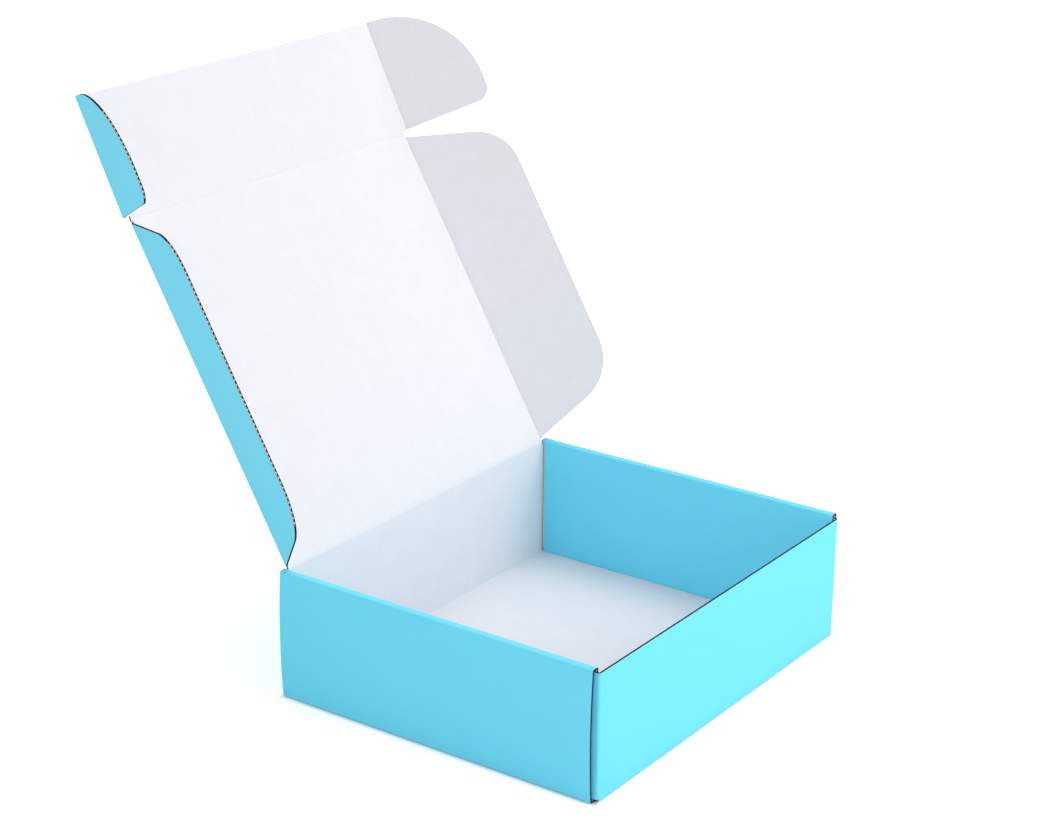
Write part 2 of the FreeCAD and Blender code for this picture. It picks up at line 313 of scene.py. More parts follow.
def wave(along: np.ndarray) -> np.ndarray:
    """Height of the waved paper's middle: narrow crests to the white liner, wide troughs on the other.

    One turn per pitch gives a raised cosine from 0 to 1. Its cube is narrow at the crests, and
    the height is the crest height times twice that cube less one. The small hollow under each
    crest is crushed shut, so that a cut across the flutes shows one dark hollow per pitch.

    Args:
        along: distances across the flutes.

    Returns:
        The height over the board's middle at each of them.
    """
    raised = (1 + np.cos(2 * math.pi * along / BOARD.pitch)) / 2
    return BOARD.crest * (2 * raised ** 3 - 1)


@dataclass
class FoldPath:
    """A line through the middle of the board, seen from the end of its folds: straight runs and arcs."""

    start: tuple[float, float]
    heading: float
    stretches: list[tuple[float, float]] = field(default_factory=list)

    def run(self, length: float) -> "FoldPath":
        """Go straight on for length."""
        self.stretches.append((length, 0.0))
        return self

    def turn(self, radius: float, angle: float) -> "FoldPath":
        """Turn by angle in degrees at radius, to the left if positive."""
        self.stretches.append((radius * math.radians(abs(angle)), math.radians(angle)))
        return self

    @property
    def marks(self) -> list[float]:
        """Distances along the path at which a stretch begins or ends."""
        return [0.0] + list(np.cumsum([length for length, _ in self.stretches]))

    def places(self, spacing: float, extra: tuple[float, ...] = ()) -> np.ndarray:
        """Distances along the path to sample, close together on the arcs.

        Args:
            spacing: the largest step.
            extra: more distances to hold.

        Returns:
            The distances, sorted.
        """
        found = [steps_between([*self.marks, *extra], spacing)]
        for (length, angle), begin in zip(self.stretches, self.marks):
            if angle:
                steps = ARC_STEPS if length < LONG_ARC else LONG_ARC_STEPS
                found.append(np.linspace(begin, begin + length, steps + 1))
        return merged(*found)

    def at(self, along: np.ndarray) -> tuple[np.ndarray, np.ndarray]:
        """Points of the path and its left-hand directions.

        On a stretch of length L that turns by A, the heading grows evenly, and a point is the
        stretch's start plus the integral of the heading: for a straight run distance times heading,
        for an arc the radius L / A times the difference of the sines and cosines of the headings.

        Args:
            along: distances along the path.

        Returns:
            The points, shaped (n, 2), and unit vectors to the left of the heading, shaped (n, 2).
        """
        points = np.zeros((len(along), 2))
        left = np.zeros((len(along), 2))
        position, heading = np.array(self.start, float), math.radians(self.heading)
        for (length, angle), begin in zip(self.stretches, self.marks):
            inside = (along >= begin - CLOSE) & (along <= begin + length + CLOSE)
            travelled = np.clip(along[inside] - begin, 0, length)
            sine, cosine = math.sin(heading), math.cos(heading)
            if angle:
                radius = length / angle
                turned = heading + travelled / radius
                points[inside] = position + radius * np.stack(
                    [np.sin(turned) - sine, cosine - np.cos(turned)], -1)
                end = position + radius * np.array(
                    [math.sin(heading + angle) - sine, cosine - math.cos(heading + angle)])
            else:
                turned = np.full(len(travelled), heading)
                ahead = np.array([cosine, sine])
                points[inside] = position + travelled[:, None] * ahead
                end = position + length * ahead
            left[inside] = np.stack([-np.sin(turned), np.cos(turned)], -1)
            position, heading = end, heading + angle
        return points, left


class Plane(Enum):
    """The plane that a fold path lies in, with the direction its folds run in."""

    XZ = ((0, 2), 1, 1.0)
    YZ = ((1, 2), 0, -1.0)
    XY = ((0, 1), 2, -1.0)


class Flutes(Enum):
    """Which way the flutes run in a folded wall."""

    ALONG_FOLDS = "along the folds"
    ACROSS_FOLDS = "across the folds"


@dataclass
class FoldedWall:
    """A stretch of board folded along one direction: a path in a plane, swept along its folds.

    Widths are the places along the folds that its mesh holds, and extra those along the path.
    Scores are the places along the path of the lines that are pressed into its printed side.
    """

    plane: Plane
    path: FoldPath
    flutes: Flutes
    widths: list[float]
    extra: tuple[float, ...] = ()
    mirrored: bool = False
    scores: tuple[float, ...] = ()

    def pressed(self, along: np.ndarray) -> np.ndarray:
        """How far the printed liner is pressed in: a bell curve about each score line.

        Args:
            along: distances along the path, shaped (n,).

        Returns:
            The depths, shaped (n, 1).
        """
        depth = np.zeros(len(along))
        for score in self.scores:
            depth += BOARD.score_depth * np.exp(-((along - score) / BOARD.score_width) ** 2)
        return depth[:, None]

    def grid(self, along: np.ndarray, across: np.ndarray, offset: np.ndarray | float) -> np.ndarray:
        """Points of the wall: the path's point, plus offset to the path's left, plus across along the folds.

        Args:
            along: distances along the path, shaped (n,).
            across: distances along the folds, shaped (m,).
            offset: distance from the board's middle towards its white side, shaped to fit (n, m).

        Returns:
            Points shaped (n, m, 3).
        """
        (first, second), third, sign = self.plane.value
        middle, left = self.path.at(along)
        reach = np.broadcast_to(offset, (len(along), len(across)))
        points = np.zeros((len(along), len(across), 3))
        points[..., first] = middle[:, None, 0] + reach * left[:, None, 0]
        points[..., second] = middle[:, None, 1] + reach * left[:, None, 1]
        points[..., third] = sign * across[None, :]
        if self.mirrored:
            points[..., 0] *= -1
        return points

    def sheet_places(self, along: np.ndarray, across: np.ndarray) -> np.ndarray:
        """Each point's place on the flat sheet, first along the flutes and then across them.

        Args:
            along: distances along the path, shaped (n,).
            across: distances along the folds, shaped (m,).

        Returns:
            The places, shaped (n, m, 2).
        """
        p, q = np.meshgrid(along, across, indexing="ij")
        pair = [q, p] if self.flutes is Flutes.ALONG_FOLDS else [p, q]
        return np.stack(pair, -1)

    def fill(self, mesh: SheetMesh, keep: Keep | None = None) -> None:
        """Add the two liners and the waved paper, whose waves show near the cut edges.

        Args:
            mesh: the mesh that takes the slabs.
            keep: tells which of the cells exist. All of them if None.
        """
        beside = np.linspace(-2, 2, 9) * BOARD.score_width
        extra = (*self.extra, *(score + step for score in self.scores for step in beside))
        along = self.path.places(WALL_STEP, extra)
        across = steps_between(self.widths, WALL_STEP)
        printed = self.pressed(along) - BOARD.half
        self._slab(mesh, along, across, printed, printed + BOARD.liner, PRINTED_LINER, keep)
        self._slab(mesh, along, across, BOARD.half - BOARD.liner, BOARD.half, WHITE_LINER, keep)
        if self.flutes is Flutes.ALONG_FOLDS:
            along = self.path.places(BOARD.wave_step, extra)
            offset = wave(along)[:, None]
        else:
            across = self._near_ends()
            offset = wave(across)[None, :]
        bottom = self.pressed(along) - BOARD.half + BOARD.liner
        self._slab(mesh, along, across, bottom, offset + BOARD.waved / 2, WAVED_PAPER, keep)

    def _near_ends(self) -> np.ndarray:
        """Places across the wall, close together within a few waves of both ends.

        Returns:
            The places, sorted.
        """
        low, high = min(self.widths), max(self.widths)
        deep = BOARD.waves_at_ends * BOARD.pitch
        return merged(np.arange(low, low + deep, BOARD.wave_step),
                      np.arange(high - deep, high, BOARD.wave_step),
                      steps_between(self.widths, WALL_STEP))

    def _slab(self, mesh: SheetMesh, along: np.ndarray, across: np.ndarray, low: np.ndarray | float,
              high: np.ndarray | float, papers: tuple[Paper, ...], keep: Keep | None) -> None:
        """Add one paper of the wall between two offsets from the board's middle.

        Args:
            mesh: the mesh that takes the slab.
            along: distances along the path, shaped (n,).
            across: distances along the folds, shaped (m,).
            low: offset of its face on the printed side, shaped to fit (n, m).
            high: offset of its face on the white side, shaped the same.
            papers: its papers, as add_slab takes them.
            keep: tells which of the cells exist. All of them if None.
        """
        kept = None
        if keep is not None:
            p, q = np.meshgrid((along[1:] + along[:-1]) / 2, (across[1:] + across[:-1]) / 2, indexing="ij")
            kept = keep(p, q)
        mesh.add_slab(self.grid(along, across, low), self.grid(along, across, high),
                      self.sheet_places(along, across), papers, kept, self.mirrored)


@dataclass
class Flap:
    """A flat flap in a frame of its own: X along the flutes, Y across them, Z to the white side.

    Its matrix takes its own frame to the part's. A mirrored flap is then swapped left for right.
    """

    matrix: Matrix
    mirrored: bool = False

    def place(self, points: np.ndarray) -> np.ndarray:
        """Points of the flap's own frame, turned and moved to where the flap is.

        Args:
            points: points of its own frame, shaped (n, 3).

        Returns:
            Points of the part's frame, shaped the same.
        """
        turned = np.array(self.matrix, float)
        placed = points @ turned[:3, :3].T + turned[:3, 3]
        if self.mirrored:
            placed = placed * np.array([-1.0, 1.0, 1.0])
        return placed

    def fill(self, mesh: SheetMesh, rows: np.ndarray, low: np.ndarray, high: np.ndarray,
             columns: int) -> None:
        """Add the two liners and the waved paper of a flap whose outline is two lines.

        A point is (low + share times (high - low), row, height), with the share running from 0 to 1.

        Args:
            mesh: the mesh that takes the slabs.
            rows: places across the flutes, shaped (n,).
            low: where each row begins along the flutes, shaped (n,).
            high: where each row ends, shaped (n,).
            columns: how many cells the liners have along the flutes.
        """
        fine = merged(steps_between([rows[0], rows[-1]], BOARD.wave_step), rows)
        inner, crests = BOARD.half - BOARD.liner, wave(fine) + BOARD.waved / 2
        for bottom, top, papers, places, cells in (
                (-BOARD.half, -inner, PRINTED_LINER, rows, columns),
                (inner, BOARD.half, WHITE_LINER, rows, columns),
                (-inner, crests, WAVED_PAPER, fine, 2)):
            begin, end = np.interp(places, rows, low), np.interp(places, rows, high)
            share = np.linspace(0, 1, cells + 1)
            along = begin[:, None] + share[None, :] * (end - begin)[:, None]
            across = np.broadcast_to(places[:, None], along.shape)
            heights = [np.broadcast_to(np.reshape(side, (-1, 1)), along.shape) for side in (bottom, top)]
            grids = [self.place(np.stack([along, across, height], -1).reshape(-1, 3)).reshape(*along.shape, 3)
                     for height in heights]
            # Rows run along Y and columns along X, so the two faces change places.
            mesh.add_slab(grids[0], grids[1], np.stack([along, across], -1), papers, None, not self.mirrored)


@dataclass
class Crease:
    """A crushed crease between two flaps: the printed liner goes round a bead, the white one folds in.

    From the pivot, out_from and out_to point away from the flaps' shared line, along the first flap
    and the second, and inside_from and inside_to point to their white sides. The crease runs from
    start to end in the direction along.
    """

    name: str
    pivot: Vector
    along: Vector
    out_from: Vector
    inside_from: Vector
    out_to: Vector
    inside_to: Vector
    start: float
    end: float

    def fill(self, mesh: SheetMesh) -> None:
        """Add the crease: its printed side is an arc about the pivot and its white side a soft valley.

        In the plane across the crease, the normal turns evenly from the first flap's to the
        second's: each is the sum of both, weighted by the sines of the angles to the other. The
        printed side keeps half a board from the pivot there, and the white side sinks from half a
        board at both ends over two shoulders to the crushed height at the pivot.

        Args:
            mesh: the mesh that takes the slab.
        """
        first, last = np.array(self.out_from), np.array(self.out_to)
        inner_first, inner_last = np.array(self.inside_from), np.array(self.inside_to)
        pivot = np.array(self.pivot)
        share = np.linspace(0, 1, 9)
        angle = math.acos(max(-1.0, min(1.0, float(inner_first @ inner_last))))
        if angle > 1e-4:
            normals = (np.sin((1 - share) * angle)[:, None] * inner_first
                       + np.sin(share * angle)[:, None] * inner_last) / math.sin(angle)
        else:
            normals = np.repeat(inner_first[None, :], len(share), 0)
        bead = pivot - BOARD.half * normals
        before, after = BOARD.crease_before, BOARD.crease_after
        flat_before = [pivot - distance * first - BOARD.half * inner_first
                       for distance in (before, before / 2)]
        flat_after = [pivot + distance * last - BOARD.half * inner_last
                      for distance in (after / 2, after)]
        printed = np.array([*flat_before, *bead, *flat_after])
        lean = np.linspace(-BOARD.valley, BOARD.valley, len(share))[:, None]
        directions = np.where(lean < 0, first, last)
        valley = pivot + directions * lean + BOARD.crease_crushed * normals
        shoulder = 0.55 * BOARD.half + 0.45 * BOARD.crease_crushed
        folded = np.array([
            pivot - before * first + BOARD.half * inner_first,
            pivot - 0.75 * before * first + shoulder * inner_first,
            *valley,
            pivot + 0.6 * after * last + shoulder * inner_last,
            pivot + after * last + BOARD.half * inner_last,
        ])
        across = steps_between([self.start, self.end], CREASE_STEP)
        direction = np.array(self.along)
        low = printed[:, None, :] + across[None, :, None] * direction
        high = folded[:, None, :] + across[None, :, None] * direction
        travel = np.concatenate([[0], np.cumsum(np.linalg.norm(np.diff(printed, axis=0), axis=1))])
        p, q = np.meshgrid(travel, across, indexing="ij")
        turns = np.cross(first, direction) @ inner_first
        mesh.add_slab(low, high, np.stack([q, p], -1), CREASED_BOARD, None, turns < 0)


# Finishes


# Scales of the paper's noises in cells per metre, along the flutes and across them, and the part
# of each noise that is spread from 0 to 1.
CLOUD_SCALE = (60, 45)
CLOUD_RANGE = (0.42, 0.68)
STREAK_SCALE = (380, 110)
STREAK_RANGE = (0.52, 0.8)
GRAIN_SCALE = (2600, 2600)


def shader_input(node: bpy.types.Node, name: str, value: object) -> None:
    """Set the value of a node's input."""
    node.inputs[name].default_value = value


def math_result(tree: bpy.types.NodeTree, operation: str, first: bpy.types.NodeSocket,
                second: bpy.types.NodeSocket | float | None = None) -> bpy.types.NodeSocket:
    """The result of a sum on one value or two.

    Args:
        tree: the node tree that takes the node.
        operation: the name of the Math node's operation.
        first: the first value.
        second: the second value, a number, or None for an operation on one value.

    Returns:
        The result's socket.
    """
    node = tree.nodes.new("ShaderNodeMath")
    node.operation = operation
    tree.links.new(first, node.inputs[0])
    if isinstance(second, bpy.types.NodeSocket):
        tree.links.new(second, node.inputs[1])
    elif second is not None:
        node.inputs[1].default_value = second
    return node.outputs[0]


def range_result(tree: bpy.types.NodeTree, value: bpy.types.NodeSocket, given: tuple[float, float],
                 wanted: tuple[float, float] = (0.0, 1.0)) -> bpy.types.NodeSocket:
    """A value spread evenly from one range to another, and held at its ends.

    Args:
        tree: the node tree that takes the node.
        value: the value.
        given: the range that it is spread from.
        wanted: the range that it is spread to.

    Returns:
        The result's socket.
    """
    node = tree.nodes.new("ShaderNodeMapRange")
    for name, number in zip(("From Min", "From Max", "To Min", "To Max"), (*given, *wanted)):
        shader_input(node, name, number)
    tree.links.new(value, node.inputs["Value"])
    return node.outputs["Result"]


def show_choice(tree: bpy.types.NodeTree, factor: bpy.types.NodeSocket, first: bpy.types.Node,
                second: bpy.types.Node, output: str) -> None:
    """Show one of two shaders.

    Args:
        tree: the node tree that takes the nodes.
        factor: 0 for the first shader and 1 for the second.
        first: the first shader.
        second: the second shader.
        output: the kind of the tree's output node.
    """
    choice = tree.nodes.new("ShaderNodeMixShader")
    tree.links.new(factor, choice.inputs[0])
    tree.links.new(first.outputs[0], choice.inputs[1])
    tree.links.new(second.outputs[0], choice.inputs[2])
    result = tree.nodes.new(output)
    tree.links.new(choice.outputs[0], result.inputs["Surface"])


def new_group(name: str, inputs: dict[str, tuple[str, object]],
              outputs: dict[str, str]) -> bpy.types.NodeTree:
    """An empty shader group with named sockets.

    Args:
        name: the group's name.
        inputs: socket names with their type and value.
        outputs: socket names with their type.

    Returns:
        The group, with its input and output nodes in place.
    """
    group = bpy.data.node_groups.new(name, "ShaderNodeTree")
    for label, (kind, value) in inputs.items():
        group.interface.new_socket(name=label, in_out="INPUT", socket_type=kind).default_value = value
    for label, kind in outputs.items():
        group.interface.new_socket(name=label, in_out="OUTPUT", socket_type=kind)
    group.nodes.new("NodeGroupInput")
    group.nodes.new("NodeGroupOutput")
    return group


def sheet_noise(tree: bpy.types.NodeTree, place: bpy.types.NodeSocket, scale: tuple[float, float],
                detail: float, rough: float) -> bpy.types.NodeSocket:
    """Noise on the sheet, stretched by its two scales.

    Args:
        tree: the node tree that takes the nodes.
        place: the place on the sheet.
        scale: cells per metre, along the flutes and across them.
        detail: how many finer noises are added.
        rough: how strong each finer noise is beside the last.

    Returns:
        The noise's socket.
    """
    mapping = tree.nodes.new("ShaderNodeMapping")
    shader_input(mapping, "Scale", (*scale, 1))
    texture = tree.nodes.new("ShaderNodeTexNoise")
    texture.noise_dimensions = "2D"
    shader_input(texture, "Scale", 1)
    shader_input(texture, "Detail", detail)
    shader_input(texture, "Roughness", rough)
    tree.links.new(place, mapping.inputs["Vector"])
    tree.links.new(mapping.outputs["Vector"], texture.inputs["Vector"])
    return texture.outputs["Fac"]


def paper_fibre_group() -> bpy.types.NodeTree:
    """Paper's clouds and streaks: a mottled tint, and a height with the faint ridges of the flutes.

    The sheet's UV map runs along the flutes and across them, in metres. The tint's share is the
    clouds and the streaks, each times its amount, added up. The height is the sine of the turns
    across the flutes, one per pitch, times the ridge height, plus a fine grain.

    Returns:
        A group that turns a colour into a mottled one and gives the height.
    """
    group = new_group("paper fibre", {
        "Colour": ("NodeSocketColor", (0.8, 0.8, 0.8, 1)),
        "Cloud Tint": ("NodeSocketColor", (0.75, 0.75, 0.78, 1)),
        "Cloud Amount": ("NodeSocketFloat", 0.3),
        "Streak Amount": ("NodeSocketFloat", 0.2),
        "Ridge Height": ("NodeSocketFloat", 0.2),
    }, {"Colour": "NodeSocketColor", "Height": "NodeSocketFloat"})
    nodes, links = group.nodes, group.links
    given = next(node for node in nodes if node.type == "GROUP_INPUT").outputs
    result = next(node for node in nodes if node.type == "GROUP_OUTPUT").inputs
    uv_map = nodes.new("ShaderNodeUVMap")
    uv_map.uv_map = "sheet"
    place = uv_map.outputs["UV"]

    cloud = range_result(group, sheet_noise(group, place, CLOUD_SCALE, 4, 0.6), CLOUD_RANGE)
    streak = range_result(group, sheet_noise(group, place, STREAK_SCALE, 3, 0.6), STREAK_RANGE)
    clouds = math_result(group, "MULTIPLY", cloud, given["Cloud Amount"])
    streaks = math_result(group, "MULTIPLY", streak, given["Streak Amount"])
    tint = nodes.new("ShaderNodeMix")
    tint.data_type = "RGBA"
    links.new(math_result(group, "ADD", clouds, streaks), tint.inputs["Factor"])
    links.new(given["Colour"], tint.inputs[6])
    links.new(given["Cloud Tint"], tint.inputs[7])
    links.new(tint.outputs[2], result["Colour"])

    apart = nodes.new("ShaderNodeSeparateXYZ")
    links.new(place, apart.inputs[0])
    turns = math_result(group, "MULTIPLY", apart.outputs["Y"], 2 * math.pi / BOARD.pitch)
    ridge = math_result(group, "SINE", turns)
    ridges = math_result(group, "MULTIPLY", ridge, given["Ridge Height"])
    grain = sheet_noise(group, place, GRAIN_SCALE, 2, 0.5)
    links.new(math_result(group, "ADD", ridges, grain), result["Height"])
    return group


@dataclass(frozen=True)
class PaperFinish:
    """A matte paper: its colour, how mottled it is and how rough."""

    name: str
    colour: tuple[float, float, float]
    cloud_tint: tuple[float, float, float]
    cloud_amount: float
    streak_amount: float
    ridge_height: float
    roughness: float
    bump: float
    gloss: float = 0.3
    relief: float = 0.05 * MM

    def material(self, fibre: bpy.types.NodeTree) -> bpy.types.Material:
        """The finish as a material.

        Args:
            fibre: the shared group of clouds and fibres.

        Returns:
            The material.
        """
        material = bpy.data.materials.new(self.name)
        material.use_nodes = True
        nodes, links = material.node_tree.nodes, material.node_tree.links
        surface = nodes["Principled BSDF"]
        shader_input(surface, "Roughness", self.roughness)
        shader_input(surface, "Specular IOR Level", self.gloss)
        paper = nodes.new("ShaderNodeGroup")
        paper.node_tree = fibre
        shader_input(paper, "Colour", (*self.colour, 1))
        shader_input(paper, "Cloud Tint", (*self.cloud_tint, 1))
        shader_input(paper, "Cloud Amount", self.cloud_amount)
        shader_input(paper, "Streak Amount", self.streak_amount)
        shader_input(paper, "Ridge Height", self.ridge_height)
        relief = nodes.new("ShaderNodeBump")
        shader_input(relief, "Strength", self.bump)
        shader_input(relief, "Distance", self.relief)
        links.new(paper.outputs["Colour"], surface.inputs["Base Color"])
        links.new(paper.outputs["Height"], relief.inputs["Height"])
        links.new(relief.outputs["Normal"], surface.inputs["Normal"])
        return material


def paper_materials() -> dict[Paper, bpy.types.Material]:
    """The materials of all the papers, in the order of the mesh's slots."""
    fibre = paper_fibre_group()
    finishes = {
        Paper.PRINTED: PaperFinish(
            "printed_liner", colour=(0.168, 0.762, 0.985), cloud_tint=(0.19, 0.79, 0.99), cloud_amount=0.15,
            streak_amount=0.2, ridge_height=0.2, roughness=0.6, bump=0.25),
        Paper.WHITE: PaperFinish(
            "white_liner", colour=(0.795, 0.797, 0.835), cloud_tint=(0.88, 0.88, 0.915), cloud_amount=0.15,
            streak_amount=0.3, ridge_height=0.2, roughness=0.7, bump=0.3),
        # The waved paper itself is pale kraft, as its cut across the flutes shows; this near-black paints the
        # shade inside the flutes.
        Paper.FLUTED: PaperFinish(
            "flute_painted_shade", colour=(0.015, 0.012, 0.01), cloud_tint=(0.03, 0.024, 0.02), cloud_amount=0.5,
            streak_amount=0.4, ridge_height=0.0, roughness=0.85, bump=0.4),
        # The cut edges are painted near-black: painted shade of the flute hollows behind them, not the
        # paper's own colour.
        Paper.CUT: PaperFinish(
            "cut_edge_painted_shade", colour=(0.014, 0.012, 0.011), cloud_tint=(0.03, 0.025, 0.022), cloud_amount=0.5,
            streak_amount=0.4, ridge_height=0.0, roughness=0.85, bump=0.4),
        Paper.PALE_CUT: PaperFinish(
            "pale_cut", colour=(0.74, 0.64, 0.57), cloud_tint=(0.60, 0.51, 0.46), cloud_amount=0.4,
            streak_amount=0.3, ridge_height=0.0, roughness=0.85, bump=0.4),
    }
    return {paper: finish.material(fibre) for paper, finish in finishes.items()}


# The box


@dataclass
class Tray:
    """The tray: floor with front and back walls, double side walls, and the four dust flaps."""

    sizes: BoxSizes
    materials: dict[Paper, bpy.types.Material]

    def build(self) -> None:
        """Make the tray's pieces, which together stand for its solid."""
        pieces = [self.walls_and_floor()]
        for side, mirrored in (("right", False), ("left", True)):
            pieces.append(self.side_wall(side, mirrored))
            pieces.append(self.dust_flaps(side, mirrored))
        for piece in pieces:
            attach(piece, "tray")
            LOG.info("made %s", piece.name)
        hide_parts("tray")

    def walls_and_floor(self) -> bpy.types.Object:
        """The floor with the front and back walls turned up from it.

        The path starts at the front wall's top, goes down, round the fold, along the floor, round
        the back fold and up to the strip below the lid's crease.

        Returns:
            The piece.
        """
        s = self.sizes
        bend = s.fold_radius - BOARD.half
        wall = s.wall_top - s.fold_radius
        rise = s.hinge_height - BOARD.crease_before - s.wall_top
        path = FoldPath((-s.half_depth + BOARD.half, s.wall_top), -90).run(wall).turn(bend, 90)
        path.run(2 * (s.half_depth - s.fold_radius)).turn(bend, 90).run(wall).run(rise)
        floor_start, floor_end, top = path.marks[2], path.marks[3], path.marks[-2]
        strip_start = floor_start + s.side_front + s.half_depth - s.fold_radius
        edges = [s.lid_crease, s.floor_seam, s.corner_centre]
        widths = [*edges, *(-edge for edge in edges)]

        def keep(p: np.ndarray, q: np.ndarray) -> np.ndarray:
            """The cells without the floor's side strips and the places beside the strip below the crease.

            Args:
                p: distances along the path.
                q: distances along the folds.

            Returns:
                True for each cell that stays.
            """
            beside_floor = (p > strip_start) & (p < floor_end) & (np.abs(q) > s.floor_seam)
            beside_crease = (p > top) & (np.abs(q) > s.lid_crease)
            return ~(beside_floor | beside_crease)

        mesh = SheetMesh("walls_and_floor")
        FoldedWall(Plane.YZ, path, Flutes.ALONG_FOLDS, widths, (strip_start,)).fill(mesh, keep)
        return mesh.build(self.materials)

    def side_wall(self, side: str, mirrored: bool) -> bpy.types.Object:
        """A double side wall: floor strip, bowed outer panel, roll, and inner panel with its tabs.

        The bowed panel is one arc. At each end it leans by twice the angle whose tangent is twice
        the bow over the rise, and its radius is half the rise over the sine of that lean.

        Args:
            side: right or left.
            mirrored: True for the left one.

        Returns:
            The piece.
        """
        s = self.sizes
        bend = s.fold_radius - BOARD.half
        roll = s.roll_radius - BOARD.half
        rise = s.height - s.fold_radius - s.roll_radius
        lean = 2 * math.degrees(math.atan2(2 * s.side_bow, rise))
        bow = rise / 2 / math.sin(math.radians(lean))
        top = s.half_width - s.roll_radius - (s.inner_face + s.roll_radius)
        path = FoldPath((s.floor_seam, BOARD.half), 0).run(s.half_width - s.fold_radius - s.floor_seam)
        path.turn(bend, 90 - lean).turn(bow, 2 * lean).turn(roll, 90 - lean).run(top).turn(roll, 90)
        marks = path.marks
        scores = (marks[3] - BOARD.score_width, marks[-1] + BOARD.score_width)
        lip = marks[-1] + s.roll_lip - s.roll_radius
        low = marks[-1] + s.height - s.roll_radius - BOARD.thickness - s.floor_gap
        path.run(low - marks[-1]).run(BOARD.thickness + s.floor_gap - s.tab_recess)
        slot_end = s.inner_face + BOARD.thickness + s.tab_play - s.floor_seam
        beside_fold = s.corner_centre - s.floor_seam
        middle, half = s.tab_spacing / 2, s.tab_length / 2
        fold_start, panel_end = s.half_depth - s.fold_radius, s.half_depth - s.panel_back_gap
        tabs = [middle + half + s.tab_play, middle + half, middle - half, middle - half - s.tab_play]
        widths = [s.side_front, panel_end, fold_start, s.half_depth, *tabs, *(-mark for mark in tabs)]

        def keep(p: np.ndarray, q: np.ndarray) -> np.ndarray:
            """The cells without the slots, the back fold, the notches beside the tabs and the panel's end.

            Args:
                p: distances along the path.
                q: distances along the folds.

            Returns:
                True for each cell that stays.
            """
            from_tab = np.abs(np.abs(q) - middle)
            slot = (p < slot_end) & (from_tab < half + s.tab_play)
            fold = (p < beside_fold) & (q > fold_start)
            beside = (p > lip) & (q > panel_end)
            below = (p > low) & (from_tab > half)
            return ~(slot | fold | beside | below)

        mesh = SheetMesh("side_wall_" + side)
        FoldedWall(Plane.XZ, path, Flutes.ACROSS_FOLDS, widths, (beside_fold, slot_end, lip), mirrored,
                   scores).fill(mesh, keep)
        return mesh.build(self.materials)

    def dust_flaps(self, side: str, mirrored: bool) -> bpy.types.Object:
        """The two corner bends with the dust flaps that end between the layers of a side wall.

        Args:
            side: right or left.
            mirrored: True for the left ones.

        Returns:
            The piece.
        """
        s = self.sizes
        radius = s.corner_radius - BOARD.half
        low, high = BOARD.thickness + s.corner_relief, s.wall_top
        length = s.dust_flap_length - s.corner_radius
        front = FoldPath((s.corner_centre, -s.half_depth + BOARD.half), 0)
        front.turn(radius, 90).run(length)
        back = FoldPath((s.flap_face - BOARD.half, s.half_depth - s.dust_flap_length), 90)
        back.run(length).turn(radius, 90)
        mesh = SheetMesh("dust_flaps_" + side)
        for path in (front, back):
            FoldedWall(Plane.XY, path, Flutes.ACROSS_FOLDS, [-low, -high], (), mirrored).fill(mesh)
        return mesh.build(self.materials)


